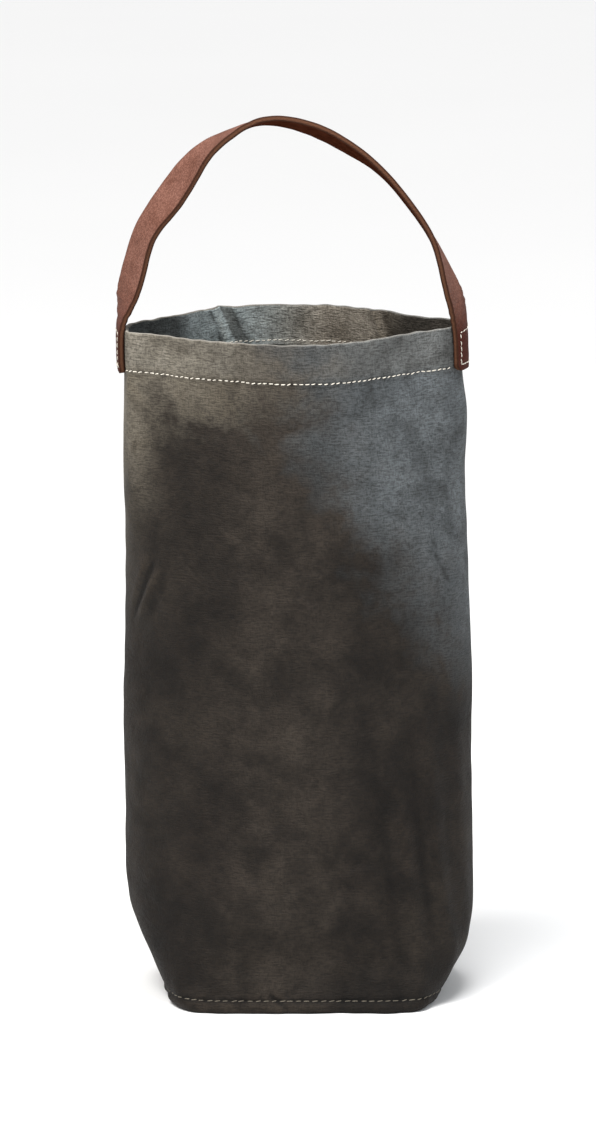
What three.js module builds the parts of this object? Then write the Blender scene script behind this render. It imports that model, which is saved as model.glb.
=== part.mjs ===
// Wine gift bag: a tall soft bag with a turned hem, a boxed base and a leather carrying strap.
// Millimetres, +Z up. The origin is the centre of the base's underside, +X runs to the right
// strap end and +Y to the back. Places on the wall are given as a height z and a distance s
// along the girth, counted anticlockwise from the right side seam.
import * as THREE from 'three';

// ---- Driving dimensions: the bag ----
const BAG_HEIGHT = 281; // rim above the surface the bag stands on
const GIRTH = 377; // length of sheet around the bag, the same at every height
const BODY_HALF_WIDTH = 71.3;
const RIM_HALF_WIDTH = 69.6;
const BASE_HALF_WIDTH = 54;
const TAPER_HEIGHT = 48; // height at which the boxed corners run out
const TAPER_POWER = 2.2;
const BODY_SQUARENESS = 2.05; // superellipse power, 2 being a true ellipse
const BASE_SQUARENESS = 7;
const RIM_PINCH_POWER = 3;

const SHEET = 0.8; // thickness of the sheet
const HEM_DEPTH = 17; // the sheet is folded to the inside this far down
const HEM_STITCH_DROP = 16;
const SEAM_ALLOWANCE = 7; // the panels' edges, turned in and pressed flat against the wall
const PIECE_GAP = 0.3;

const BASE_FLANGE_HEIGHT = 7.5;
const BASE_STITCH_HEIGHT = 5.4;
const FLANGE_INSET = SHEET + 0.7;
const SEAM_START = BASE_FLANGE_HEIGHT + 1; // the seam allowances begin above the base flange

// ---- Driving dimensions: strap and thread ----
const STRAP_WIDTH = 20;
const STRAP_THICKNESS = 2.5;
const STRAP_SEWN_LENGTH = 17;
const STRAP_STAND = 0.6; // the sewn ends reach this far above the rim
const STRAP_CORNER_RADIUS = 3;
const ARCH_FOOT = 1.2; // lowest point of the arch above the rim
const RIGHT_END_S = -9.5; // girth position of the middle of each sewn end
const LEFT_END_S = GIRTH / 2 + 3.5;

const THREAD_RADIUS = 0.35;
const BOX_STITCH_WIDTH = 16;
const BOX_STITCH_HEIGHT = 14;
const BOX_STITCH_RADIUS = 1;

// Middle line of the arch from the left foot to the right one: x, y, height above the rim,
// and how far the outer face turns towards the front there, in degrees.
const ARCH = [
  [-71.2, -3.3, 0.0, 5],
  [-70.0, -3.4, 9.0, 14],
  [-67.2, -3.6, 19.0, 22],
  [-62.8, -4.0, 36.0, 24],
  [-52.8, -4.5, 52.5, 25],
  [-40.8, -5.0, 69.0, 20],
  [-28.8, -5.5, 79.0, 8],
  [-12.0, -6.3, 84.7, -10],
  [4.5, -7.0, 82.0, -15],
  [21.0, -7.7, 74.8, -17],
  [37.6, -8.6, 62.4, -8],
  [54.1, -9.3, 41.3, -3],
  [61.2, -9.6, 27.7, 6],
  [66.2, -9.8, 15.3, 13],
  [69.8, -9.9, 0.0, 16],
];

// ---- Mesh resolution ----
const OUTLINE_SAMPLES = 720;
const PANEL_STEPS = 22;
const BASE_STEPS = 56;
const ARCH_STEPS = 46;
const STRAP_END_STEPS = 8;
const THREAD_SIDES = 6;
const HEM_THREAD_STEPS = 34;

// ---- The bag's outline at each height ----
function halfWidthAt(z) {
  if (z < TAPER_HEIGHT) {
    const left = 1 - z / TAPER_HEIGHT;
    return BODY_HALF_WIDTH - (BODY_HALF_WIDTH - BASE_HALF_WIDTH) * left ** TAPER_POWER;
  }
  const up = (z - TAPER_HEIGHT) / (BAG_HEIGHT - TAPER_HEIGHT);
  return BODY_HALF_WIDTH - (BODY_HALF_WIDTH - RIM_HALF_WIDTH) * up ** RIM_PINCH_POWER;
}

function squarenessAt(z) {
  const left = Math.max(0, 1 - z / TAPER_HEIGHT);
  return BODY_SQUARENESS + (BASE_SQUARENESS - BODY_SQUARENESS) * left ** 3;
}

function superellipse(halfWidth, halfDepth, power) {
  const points = [];
  for (let i = 0; i <= OUTLINE_SAMPLES; i += 1) {
    const angle = (i / OUTLINE_SAMPLES) * 2 * Math.PI;
    const across = Math.abs(Math.cos(angle) / halfWidth) ** power;
    const deep = Math.abs(Math.sin(angle) / halfDepth) ** power;
    const radius = (across + deep) ** (-1 / power);
    points.push(new THREE.Vector2(radius * Math.cos(angle), radius * Math.sin(angle)));
  }
  return points;
}

function cumulativeLengths(points) {
  const lengths = [0];
  for (let i = 1; i < points.length; i += 1) {
    lengths.push(lengths[i - 1] + points[i].distanceTo(points[i - 1]));
  }
  return lengths;
}

// The sheet doesn't stretch, so each outline's depth is the one that keeps its girth.
function makeOutline(z) {
  const halfWidth = halfWidthAt(z);
  const power = squarenessAt(z);
  let shallow = 20;
  let deep = 80;
  let points;
  let lengths;
  for (let i = 0; i < 30; i += 1) {
    const halfDepth = (shallow + deep) / 2;
    points = superellipse(halfWidth, halfDepth, power);
    lengths = cumulativeLengths(points);
    if (lengths[OUTLINE_SAMPLES] < GIRTH) shallow = halfDepth;
    else deep = halfDepth;
  }
  return { points, lengths };
}

const outlines = new Map();
function outlineAt(z) {
  const height = Math.min(Math.max(z, 0), BAG_HEIGHT);
  if (!outlines.has(height)) outlines.set(height, makeOutline(height));
  return outlines.get(height);
}

function alongOutline({ points, lengths }, s) {
  const wrapped = THREE.MathUtils.euclideanModulo(s, GIRTH);
  let i = 1;
  while (i < lengths.length - 1 && lengths[i] < wrapped) i += 1;
  const share = (wrapped - lengths[i - 1]) / (lengths[i] - lengths[i - 1]);
  return points[i - 1].clone().lerp(points[i], share);
}

// A point of the wall, pushed outwards by `out`, or inwards where that is negative.
function wallPoint(z, s, out = 0) {
  const outline = outlineAt(z);
  const here = alongOutline(outline, s);
  const tangent = alongOutline(outline, s + 1).sub(alongOutline(outline, s - 1)).normalize();
  return new THREE.Vector3(here.x + tangent.y * out, here.y - tangent.x * out, z);
}

// ---- Closed bodies from rings of points ----
// Each ring runs anticlockwise seen from the ring after it. A loop of rings has no caps.
function loft(rings, loop = false) {
  const size = rings[0].length;
  const positions = rings.flatMap((ring) => ring.flatMap((p) => [p.x, p.y, p.z]));
  const faces = [];
  const joins = loop ? rings.length : rings.length - 1;
  for (let k = 0; k < joins; k += 1) {
    const low = k * size;
    const high = ((k + 1) % rings.length) * size;
    for (let i = 0; i < size; i += 1) {
      const next = (i + 1) % size;
      faces.push(low + i, low + next, high + next);
      faces.push(low + i, high + next, high + i);
    }
  }
  if (!loop) {
    const last = (rings.length - 1) * size;
    for (const [a, b, c] of capFaces(rings[0])) faces.push(a, c, b);
    for (const [a, b, c] of capFaces(rings[rings.length - 1])) faces.push(last + a, last + b, last + c);
  }
  const geometry = new THREE.BufferGeometry();
  geometry.setAttribute('position', new THREE.Float32BufferAttribute(positions, 3));
  geometry.setIndex(faces);
  geometry.computeVertexNormals();
  return geometry;
}

// Triangles of a flat ring, found in the ring's own plane.
function capFaces(ring) {
  const normal = new THREE.Vector3();
  ring.forEach((p, i) => normal.add(p.clone().cross(ring[(i + 1) % ring.length])));
  normal.normalize();
  const helper = Math.abs(normal.x) < 0.7 ? new THREE.Vector3(1, 0, 0) : new THREE.Vector3(0, 0, 1);
  const across = helper.cross(normal).normalize();
  const up = normal.clone().cross(across);
  const flat = ring.map((p) => new THREE.Vector2(p.dot(across), p.dot(up)));
  return THREE.ShapeUtils.triangulateShape(flat, []);
}

// A frame at each point of a path: forward, side (near `towards`) and face = forward x side.
function framesAlong(path, towards, loop = false) {
  const last = path.length - 1;
  return path.map((point, i) => {
    const ahead = path[loop ? (i + 1) % path.length : Math.min(i + 1, last)];
    const behind = path[loop ? (i + last) % path.length : Math.max(i - 1, 0)];
    const forward = ahead.clone().sub(behind).normalize();
    const side = towards.clone().addScaledVector(forward, -towards.dot(forward)).normalize();
    const face = forward.clone().cross(side);
    return { point, side, face };
  });
}

function thread(path, towards, loop = false) {
  const rings = framesAlong(path, towards, loop).map(({ point, side, face }) => {
    const ring = [];
    for (let i = 0; i < THREAD_SIDES; i += 1) {
      const angle = (i / THREAD_SIDES) * 2 * Math.PI;
      const p = point.clone();
      p.addScaledVector(side, THREAD_RADIUS * Math.cos(angle));
      p.addScaledVector(face, THREAD_RADIUS * Math.sin(angle));
      ring.push(p);
    }
    return ring;
  });
  return loft(rings, loop);
}

function spaced(from, to, steps) {
  return Array.from({ length: steps + 1 }, (_, i) => from + ((to - from) * i) / steps);
}

// ---- Sub-parts ----
const HEM_START = BAG_HEIGHT - HEM_DEPTH;
const WALL_LEVELS = [
  0, 2, 5, BASE_FLANGE_HEIGHT, SEAM_START - 0.3, SEAM_START, 13, 19, 27, 37, TAPER_HEIGHT, 80, 120, 160, 200, 240,
  HEM_START - 0.1, HEM_START, BAG_HEIGHT,
];

// Layers of sheet in the wall: one, and one more in the hem and in each pressed seam allowance.
function wallThickness(z, fromSeam) {
  const hem = z < HEM_START ? 0 : 1;
  const allowance = z < SEAM_START || fromSeam > SEAM_ALLOWANCE ? 0 : 1;
  return SHEET * (1 + hem + allowance);
}

// Half of the wall, from one side seam to the other. Its edges are turned in and pressed flat
// at the seams, and its hem is turned down inside.
function wallPanel(side) {
  const seamFace = PIECE_GAP / 2;
  const start = side > 0 ? 0 : GIRTH / 2;
  const half = GIRTH / 2;
  const allowance = [0, SEAM_ALLOWANCE / 2, SEAM_ALLOWANCE, SEAM_ALLOWANCE + 0.2];
  const clear = 2 * SEAM_ALLOWANCE;
  const stations = [
    ...allowance,
    ...spaced(clear, half - clear, PANEL_STEPS),
    ...allowance.map((s) => half - s).reverse(),
  ];
  const clearOfSeam = (p) => p.setY(side * Math.max(side * p.y, seamFace));
  const rings = WALL_LEVELS.map((z) => {
    const outer = stations.map((s) => clearOfSeam(wallPoint(z, start + s)));
    const inner = stations.map((s) => {
      const thickness = wallThickness(z, Math.min(s, half - s));
      return clearOfSeam(wallPoint(z, start + s, -thickness));
    });
    return [...outer, ...inner.reverse()];
  });
  return loft(rings);
}

// The base is a shallow tray whose upturned flange is sewn inside the wall.
function basePanel() {
  const stations = spaced(0, GIRTH, BASE_STEPS).slice(0, -1);
  const ringAt = (z, inset) => stations.map((s) => wallPoint(z, s, -inset));
  const outside = [0, 2, 5, BASE_FLANGE_HEIGHT].map((z) => ringAt(z, FLANGE_INSET));
  const inside = [BASE_FLANGE_HEIGHT, 5, 2, SHEET].map((z) => ringAt(z, FLANGE_INSET + SHEET));
  return loft([...outside, ...inside]);
}

function sewnEnd(middle) {
  const bottom = BAG_HEIGHT - STRAP_SEWN_LENGTH;
  const corner = [0, 0.4, 1.2, STRAP_CORNER_RADIUS].map((rise) => {
    const rest = STRAP_CORNER_RADIUS - rise;
    const cut = STRAP_CORNER_RADIUS - Math.sqrt(STRAP_CORNER_RADIUS ** 2 - rest ** 2);
    return { z: bottom + rise, half: STRAP_WIDTH / 2 - cut };
  });
  const straight = [BAG_HEIGHT, BAG_HEIGHT + STRAP_STAND].map((z) => ({ z, half: STRAP_WIDTH / 2 }));
  const rings = [...corner, ...straight].map(({ z, half }) => {
    const stations = spaced(middle - half, middle + half, STRAP_END_STEPS);
    const outer = stations.map((s) => wallPoint(z, s, PIECE_GAP + STRAP_THICKNESS));
    const inner = stations.map((s) => wallPoint(z, s, PIECE_GAP));
    return [...outer, ...inner.reverse()];
  });
  return loft(rings);
}

// The strap's free stretch. Each foot is a half disc round the line that the strap bends on.
function archStrap() {
  const middle = new THREE.CatmullRomCurve3(
    ARCH.map(([x, y, rise]) => new THREE.Vector3(x, y, BAG_HEIGHT + ARCH_FOOT + rise)),
  );
  const turns = new THREE.SplineCurve(ARCH.map(([, , , turn], i) => new THREE.Vector2(i, turn)));
  const length = middle.getLength();
  const radius = STRAP_WIDTH / 2;
  const footSteps = [0.5, 1.5, 3, 5.5, radius];
  const distances = [
    ...footSteps,
    ...spaced(radius, length - radius, ARCH_STEPS).slice(1, -1),
    ...footSteps.map((d) => length - d).reverse(),
  ];
  const frames = framesAlong(
    distances.map((d) => middle.getPointAt(d / length)),
    new THREE.Vector3(0, 1, 0),
  );
  const rings = frames.map(({ point, side, face }, i) => {
    const toTip = Math.min(distances[i], length - distances[i], radius);
    const half = Math.sqrt(radius ** 2 - (radius - toTip) ** 2);
    const share = middle.getUtoTmapping(distances[i] / length);
    const turn = THREE.MathUtils.degToRad(turns.getPoint(share).y);
    const across = side.clone().multiplyScalar(Math.cos(turn)).addScaledVector(face, Math.sin(turn));
    const out = face.clone().multiplyScalar(Math.cos(turn)).addScaledVector(side, -Math.sin(turn));
    const corner = (u, v) => point
      .clone()
      .addScaledVector(across, u * half)
      .addScaledVector(out, (v * STRAP_THICKNESS) / 2);
    return [corner(1, 1), corner(-1, 1), corner(-1, -1), corner(1, -1)];
  });
  return loft(rings);
}

const THREAD_OUT = PIECE_GAP + THREAD_RADIUS;
const UP = new THREE.Vector3(0, 0, 1);

function hemStitching(from, to) {
  const z = BAG_HEIGHT - HEM_STITCH_DROP;
  const clear = STRAP_WIDTH / 2 + 1;
  const stations = spaced(from + clear, to - clear, HEM_THREAD_STEPS);
  return thread(stations.map((s) => wallPoint(z, s, THREAD_OUT)), UP);
}

function baseStitching() {
  const stations = spaced(0, GIRTH, BASE_STEPS).slice(0, -1);
  return thread(stations.map((s) => wallPoint(BASE_STITCH_HEIGHT, s, THREAD_OUT)), UP, true);
}

// Runs up the inside of a side seam, over the pressed allowances.
function sideSeamStitching(side) {
  const start = side > 0 ? 0 : GIRTH / 2;
  const levels = [...WALL_LEVELS.filter((z) => z > SEAM_START && z < HEM_START - 1), HEM_START - 1];
  const inset = wallThickness(TAPER_HEIGHT, 0) + THREAD_OUT;
  const path = levels.map((z) => wallPoint(z, start, -inset));
  return thread(path, new THREE.Vector3(0, 1, 0));
}

function boxStitching(middle) {
  const x = BOX_STITCH_WIDTH / 2 - BOX_STITCH_RADIUS;
  const top = -1 - BOX_STITCH_RADIUS;
  const bottom = -1 - BOX_STITCH_HEIGHT + BOX_STITCH_RADIUS;
  const outline = new THREE.Path();
  outline.absarc(x, bottom, BOX_STITCH_RADIUS, -Math.PI / 2, 0);
  outline.absarc(x, top, BOX_STITCH_RADIUS, 0, Math.PI / 2);
  outline.absarc(-x, top, BOX_STITCH_RADIUS, Math.PI / 2, Math.PI);
  outline.absarc(-x, bottom, BOX_STITCH_RADIUS, Math.PI, 1.5 * Math.PI);
  outline.closePath();
  const out = PIECE_GAP + STRAP_THICKNESS + THREAD_OUT;
  const path = outline
    .getSpacedPoints(STRAP_END_STEPS * 5)
    .slice(0, -1)
    .map((p) => wallPoint(BAG_HEIGHT + p.y, middle + p.x, out));
  const outward = wallPoint(BAG_HEIGHT, middle, 1).sub(wallPoint(BAG_HEIGHT, middle));
  return thread(path, outward, true);
}

// ---- Materials and assembly ----
const sheetMaterial = { color: 0x4a4641, roughness: 0.72, metalness: 0 };
const leatherMaterial = { color: 0x6b3a28, roughness: 0.6, metalness: 0 };
const threadMaterial = { color: 0xd9cfba, roughness: 0.85, metalness: 0 };

function piece(name, geometry, material) {
  const mesh = new THREE.Mesh(geometry, new THREE.MeshStandardMaterial(material));
  mesh.name = name;
  return mesh;
}

const bag = new THREE.Group();
bag.add(
  piece('front_panel', wallPanel(-1), sheetMaterial),
  piece('back_panel', wallPanel(1), sheetMaterial),
  piece('base_panel', basePanel(), sheetMaterial),
  piece('hem_stitching_front', hemStitching(LEFT_END_S, GIRTH + RIGHT_END_S), threadMaterial),
  piece('hem_stitching_back', hemStitching(RIGHT_END_S, LEFT_END_S), threadMaterial),
  piece('base_stitching', baseStitching(), threadMaterial),
  piece('side_seam_stitching_left', sideSeamStitching(-1), threadMaterial),
  piece('side_seam_stitching_right', sideSeamStitching(1), threadMaterial),
);

const strap = new THREE.Group();
strap.add(
  piece('handle_strap', archStrap(), leatherMaterial),
  piece('strap_end_left', sewnEnd(LEFT_END_S), leatherMaterial),
  piece('strap_end_right', sewnEnd(RIGHT_END_S), leatherMaterial),
  piece('strap_stitching_left', boxStitching(LEFT_END_S), threadMaterial),
  piece('strap_stitching_right', boxStitching(RIGHT_END_S), threadMaterial),
);
bag.add(strap);

export default bag;
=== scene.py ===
import math

import bpy
import numpy as np
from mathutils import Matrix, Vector


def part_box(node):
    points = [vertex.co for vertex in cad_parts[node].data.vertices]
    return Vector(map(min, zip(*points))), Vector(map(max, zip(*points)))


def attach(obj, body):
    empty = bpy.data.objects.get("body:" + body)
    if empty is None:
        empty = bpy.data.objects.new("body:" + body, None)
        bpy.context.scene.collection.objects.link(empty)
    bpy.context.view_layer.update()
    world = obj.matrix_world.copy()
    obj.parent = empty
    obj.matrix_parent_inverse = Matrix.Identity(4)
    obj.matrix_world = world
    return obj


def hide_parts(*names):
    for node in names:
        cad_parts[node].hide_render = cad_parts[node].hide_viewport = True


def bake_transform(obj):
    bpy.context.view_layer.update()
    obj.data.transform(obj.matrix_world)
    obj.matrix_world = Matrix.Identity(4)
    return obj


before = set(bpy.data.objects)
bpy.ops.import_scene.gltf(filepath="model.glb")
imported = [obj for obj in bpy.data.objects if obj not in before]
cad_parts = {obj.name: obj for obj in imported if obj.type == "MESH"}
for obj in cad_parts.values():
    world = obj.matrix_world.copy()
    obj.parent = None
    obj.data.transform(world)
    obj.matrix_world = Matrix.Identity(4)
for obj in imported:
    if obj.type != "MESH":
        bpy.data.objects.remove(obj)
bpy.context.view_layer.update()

# The wine gift bag's looks: a soft sheet bag with a turned hem, and a leather strap.
# Lengths are in millimetres until a mesh is made. Places on the wall are given as a height z
# and a distance s along the girth, counted anticlockwise from the right side seam.
MM = 0.001
TURN = 2 * math.pi

# ---- driving dimensions
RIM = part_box("back_panel")[1].z / MM
GIRTH = 377.0
HALF_GIRTH = GIRTH / 2
FRONT = 1.5 * HALF_GIRTH
BACK = 0.5 * HALF_GIRTH
CORNER_HEIGHT = 44.0
BODY_SQUARENESS = 2.05
BASE_SQUARENESS = 8.0
FRONT_NARROWING = 0.10
MOUTH_START = 165.0
PROFILE_BLUR = 4.0

# The bag as it stands, seen from the front: height, then x of its left and its right edge. It
# leans a little to the right, and its boxed corners have slumped unevenly.
PROFILE = [
    (0, -53.0, 59.8),
    (12, -57.8, 67.2),
    (22, -62.2, 72.6),
    (36, -68.4, 75.0),
    (50, -70.0, 74.9),
    (90, -70.7, 74.7),
    (130, -70.9, 73.8),
    (172, -69.2, 72.3),
    (215, -70.2, 72.6),
    (250, -70.4, 73.2),
    (281, -70.3, 72.0),
]

# The mouth's outline at the rim, anticlockwise from the right side seam: x, y, and how far the
# rim is lifted there. The back half comes first. The strap's stiff ends hold the mouth's two
# tips flat, and the back has two folds.
MOUTH_BACK = [
    (67.8, 0.0, 2.0), (67.4, 5.0, 1.9), (65.6, 9.5, 1.8), (59.0, 13.2, 1.7),
    (52.0, 17.5, 1.6), (44.0, 26.0, 1.4), (38.0, 34.5, 1.3), (27.5, 42.5, 1.2),
    (14.0, 48.5, 1.1), (-2.0, 50.0, 1.0), (-17.0, 48.0, 1.0), (-25.0, 44.8, 0.9),
    (-31.0, 46.2, 0.9), (-37.0, 40.8, 0.8), (-45.3, 31.5, 0.7), (-53.6, 23.0, 0.5),
    (-62.0, 15.0, 0.2), (-68.0, 8.5, 0.0), (-69.8, 4.0, 0.0),
]
MOUTH_FRONT = [
    (-70.3, 0.0, 0.0), (-69.3, -7.5, 0.2), (-67.9, -14.8, 0.5), (-65.0, -17.8, 0.6),
    (-60.0, -19.0, 0.5), (-51.6, -23.2, 0.2), (-43.0, -29.5, 0.0), (-34.0, -35.5, 0.0),
    (-22.5, -41.0, 0.0), (-11.0, -45.0, 0.1), (2.0, -47.2, 0.2), (15.0, -45.3, 0.4),
    (27.4, -38.8, 0.7), (38.0, -31.2, 1.0), (46.0, -24.8, 1.4), (52.4, -20.6, 1.7),
    (58.8, -18.0, 1.9), (63.5, -13.4, 2.0), (66.2, -9.0, 2.0), (67.6, -4.2, 2.0),
]

# Creases and, with a negative depth, ridges of the front: s from the middle of the front and z of
# one end, the same of the other end, then width and depth.
CREASES = [
    ((-61, 192), (-80, 160), 2.0, 0.9),
    ((-57, 188), (-75, 160), 2.6, -0.8),
    ((-66, 236), (-58, 204), 2.4, -0.35),
    ((58, 196), (70, 176), 1.8, 0.4),
    ((-78, 222), (-58, 225), 1.0, 0.14),
    ((-80, 214), (-64, 218), 1.0, 0.18),
    ((-14, 9), (-4, 1), 1.0, 0.6),
]

# The back wall's two folds: s at the rim, how far they lean, their depth, the height of the swell
# beside them, how dark the shade painted on their far side is and how far that painted shade
# reaches.
LEFT_FOLD = {"s": BACK + 34.5, "lean": 0.5, "depth": 1.5, "swell": 1.4, "dark": 0.9, "reach": 13}
RIGHT_FOLD = {"s": BACK - 41.0, "lean": 0.4, "depth": 0.8, "swell": 0.8, "dark": 0.5, "reach": 9}
FOLD_LENGTH = 60.0

SHEET = 0.8
LAYER_GAP = 0.1
HEM_DEPTH = 17.0
HEM_STITCH_Z = RIM - 16.0
BASE_STITCH_Z = 5.4
SEAM_ALLOWANCE = 7.0
SEAM_START = 9.0
FLANGE_INSET = 1.7
FLANGE_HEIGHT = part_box("base_panel")[1].z / MM
BASE_BEND_RADIUS = 2.2
BASE_REACH = 45.0
FOLD_STEPS = 8
UV_COLUMN = 60
SEAM_GAP = 0.12

STRAP_WIDTH = 20.0
STRAP_THICKNESS = 2.5
STRAP_GAP = 0.3
STRAP_LIFT = STRAP_GAP + STRAP_THICKNESS / 2
STRAP_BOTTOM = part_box("strap_end_left")[0].z / MM
STRAP_EDGE_RADIUS = 0.7
STRAP_CORNER_RADIUS = 3.0
RIGHT_END_S = -4.8
LEFT_END_S = HALF_GIRTH + 3.5
ARCH_FOOT = 1.2
CUT_EDGE_WIDTH = 0.8

# Middle line of the strap's arch, from the left foot to the right one: x, y, height above the
# rim, and how far the outer face turns towards the front there, in degrees. The two feet
# themselves lie on the wall.
ARCH = [
    (-70.8, -3.3, 0.0, 9),
    (-69.5, -3.4, 9.0, 19),
    (-66.6, -3.6, 19.0, 25),
    (-62.0, -4.0, 36.0, 23),
    (-58.6, -4.2, 42.6, 23),
    (-50.6, -4.6, 53.2, 29),
    (-43.6, -4.9, 63.4, 25),
    (-37.0, -5.2, 71.6, 14),
    (-28.6, -5.5, 77.6, 2),
    (-13.0, -6.3, 84.8, -11),
    (4.5, -7.0, 82.6, -17),
    (21.0, -7.7, 74.8, -17),
    (37.6, -8.6, 62.4, -8),
    (53.9, -9.3, 41.3, -5),
    (60.2, -8.8, 27.7, 4),
    (64.6, -7.9, 15.3, 15),
    (67.8, -7.0, 0.0, 20),
]

HEM_STITCH_PITCH = 2.55
BASE_STITCH_PITCH = 3.4
SEAM_STITCH_PITCH = 3.2
BOX_STITCH_PITCH = 2.6
THREAD_RADIUS = 0.22
BASE_THREAD_RADIUS = 0.19
BOX_THREAD_RADIUS = 0.2
# The box of stitches on a sewn end: half its width, and where it starts and ends from the tip.
BOX_HALF_WIDTH, BOX_NEAR, BOX_FAR = 7.6, 2.6, 16.6
STITCH_RINGS = 9
STITCH_SIDES = 8


# ---- the wall's surface
def profile_at(z):
    """The wall's half width and the x of its middle at each height."""
    heights, left, right = np.array(PROFILE).T
    near = z[:, None] + np.linspace(-PROFILE_BLUR, PROFILE_BLUR, 9)
    left_edge = np.interp(near, heights, left).mean(axis=1)
    right_edge = np.interp(near, heights, right).mean(axis=1)
    return (right_edge - left_edge) / 2, (right_edge + left_edge) / 2


def squareness_at(z):
    low = np.clip(1 - z / CORNER_HEIGHT, 0, 1)
    return BODY_SQUARENESS + (BASE_SQUARENESS - BODY_SQUARENESS) * low**2


def superellipses(half_width, half_depth, power, samples=720):
    """One outline for each height, as x and y arrays."""
    angle = np.linspace(0, TURN, samples + 1)[None, :]
    across = np.abs(np.cos(angle) / half_width[:, None]) ** power[:, None]
    deep = np.abs(np.sin(angle) / half_depth[:, None]) ** power[:, None]
    radius = (across + deep) ** (-1 / power[:, None])
    return radius * np.cos(angle), radius * np.sin(angle)


def lengths_along(x, y):
    steps = np.hypot(np.diff(x, axis=1), np.diff(y, axis=1))
    return np.concatenate([np.zeros((len(x), 1)), np.cumsum(steps, axis=1)], axis=1)


def outlines(heights, stations):
    """The sheet doesn't stretch, so each height's depth is the one that keeps its girth."""
    (half_width, middle_x), power = profile_at(heights), squareness_at(heights)
    shallow, deep = np.full(len(heights), 20.0), np.full(len(heights), 80.0)
    # the range of possible half depths is halved until the girth fits
    for _ in range(30):
        middle = (shallow + deep) / 2
        short = lengths_along(*superellipses(half_width, middle, power))[:, -1] < GIRTH
        shallow = np.where(short, middle, shallow)
        deep = np.where(short, deep, middle)
    x, y = superellipses(half_width, deep, power)
    low = np.clip(1 - heights / CORNER_HEIGHT, 0, 1)[:, None]
    x *= 1 - FRONT_NARROWING * low * np.clip(-y / deep[:, None], 0, 1) ** 1.5
    along = lengths_along(x, y)
    at_stations = np.empty((len(heights), len(stations), 2))
    for i, row in enumerate(along):
        scaled = row * GIRTH / row[-1]
        at_stations[i, :, 0] = np.interp(stations, scaled, x[i] + middle_x[i])
        at_stations[i, :, 1] = np.interp(stations, scaled, y[i])
    return at_stations


def unit(vectors):
    return vectors / np.linalg.norm(vectors, axis=-1, keepdims=True)


def smooth_step(t):
    t = np.clip(t, 0, 1)
    return t * t * (3 - 2 * t)


def through(points, per_span=24):
    """A smooth curve through the points (Catmull-Rom)."""
    points = np.asarray(points, float)
    padded = np.vstack([2 * points[0] - points[1], points, 2 * points[-1] - points[-2]])
    share = np.linspace(0, 1, per_span, endpoint=False)[:, None]
    spans = []
    for a, b, c, d in zip(padded, padded[1:], padded[2:], padded[3:]):
        cubic = (3 * b - a - 3 * c + d) * share**3
        square = (2 * a - 5 * b + 4 * c - d) * share**2
        spans.append((2 * b + (c - a) * share + square + cubic) / 2)
    return np.vstack(spans + [points[-1:]])


def mouth_outline(stations):
    """The rim's x, y and lift at the stations, each seam-to-seam half spread over its panel."""
    halves = (MOUTH_BACK + MOUTH_FRONT[:1], MOUTH_FRONT + MOUTH_BACK[:1])
    outline = np.empty((len(stations), 3))
    for half, start in zip(halves, (0, HALF_GIRTH)):
        line = through(half)
        along = np.concatenate([[0], np.cumsum(np.hypot(*np.diff(line[:, :2], axis=0).T))])
        here = (stations >= start) & (stations < start + HALF_GIRTH)
        wanted = (stations[here] - start) / HALF_GIRTH * along[-1]
        outline[here] = read_line(wanted, along, line)
    # rounds the outline's small corners
    for _ in range(12):
        outline = (np.roll(outline, 1, axis=0) + 2 * outline + np.roll(outline, -1, axis=0)) / 4
    return outline


def waves(s, z, length_s, length_z, seed, count=14):
    """Smooth noise of about -1 to 1 that closes on itself round the girth."""
    rng = np.random.default_rng(seed)
    total = np.zeros(np.broadcast(s, z).shape)
    for _ in range(count):
        turns = np.round(GIRTH / length_s * rng.uniform(-1.3, 1.3))
        rise = rng.uniform(-1.3, 1.3) / length_z
        total += np.cos(TURN * (turns * s / GIRTH + rise * z + rng.random()))
    return total / math.sqrt(count / 2)


def read_line(wanted, along, line):
    """A line's points, all their columns, at the wanted distances along it."""
    return np.column_stack([np.interp(wanted, along, column) for column in line.T])


def distances_along(line):
    """The distance from a line's first point to each of its points."""
    return np.concatenate([[0], np.cumsum(np.linalg.norm(np.diff(line, axis=0), axis=1))])


def around(s, middle):
    """The signed distance along the girth from middle."""
    return (s - middle + HALF_GIRTH) % GIRTH - HALF_GIRTH


def hump(distance, width):
    return np.exp(-((distance / width) ** 2))


def crease(s, z, start, end, width, depth):
    """A valley of that depth along a straight line from start to end, with raised lips."""
    (s0, z0), (s1, z1) = start, end
    length = math.hypot(s1 - s0, z1 - z0)
    along_s, along_z = (s1 - s0) / length, (z1 - z0) / length
    ds, dz = around(s, s0), z - z0
    along = ds * along_s + dz * along_z
    off = ds * along_z - dz * along_s
    fade = np.clip(along / (0.3 * length), 0, 1) * np.clip((length - along) / (0.3 * length), 0, 1)
    valley = hump(off, width) - 0.45 * hump(np.abs(off) - 2.2 * width, width)
    return -depth * fade * valley


def fold_distance(fold, s, z):
    """The distance round the girth from one of the back wall's folds."""
    return around(s, fold["s"]) + fold["lean"] * (RIM - z)


def fold_strength(z):
    return smooth_step((z - (RIM - FOLD_LENGTH)) / (FOLD_LENGTH - 5))


def fold_relief(fold, s, z):
    """A narrow valley with a swell on its far side."""
    distance = fold_distance(fold, s, z)
    return fold["swell"] * hump(distance + 7, 4.5) - fold["depth"] * hump(distance, 2.2)


def fold_shadow(s, z):
    """The dark side of the two folds, as seen from inside the bag."""
    total = np.zeros(np.broadcast(s, z).shape)
    for fold in (LEFT_FOLD, RIGHT_FOLD):
        distance = fold_distance(fold, s, z)
        past_fold = smooth_step((0.4 - distance) / 0.8)
        total += fold["dark"] * np.exp(np.minimum(distance, 0) / fold["reach"]) * past_fold
    return fold_strength(z) * total


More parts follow.
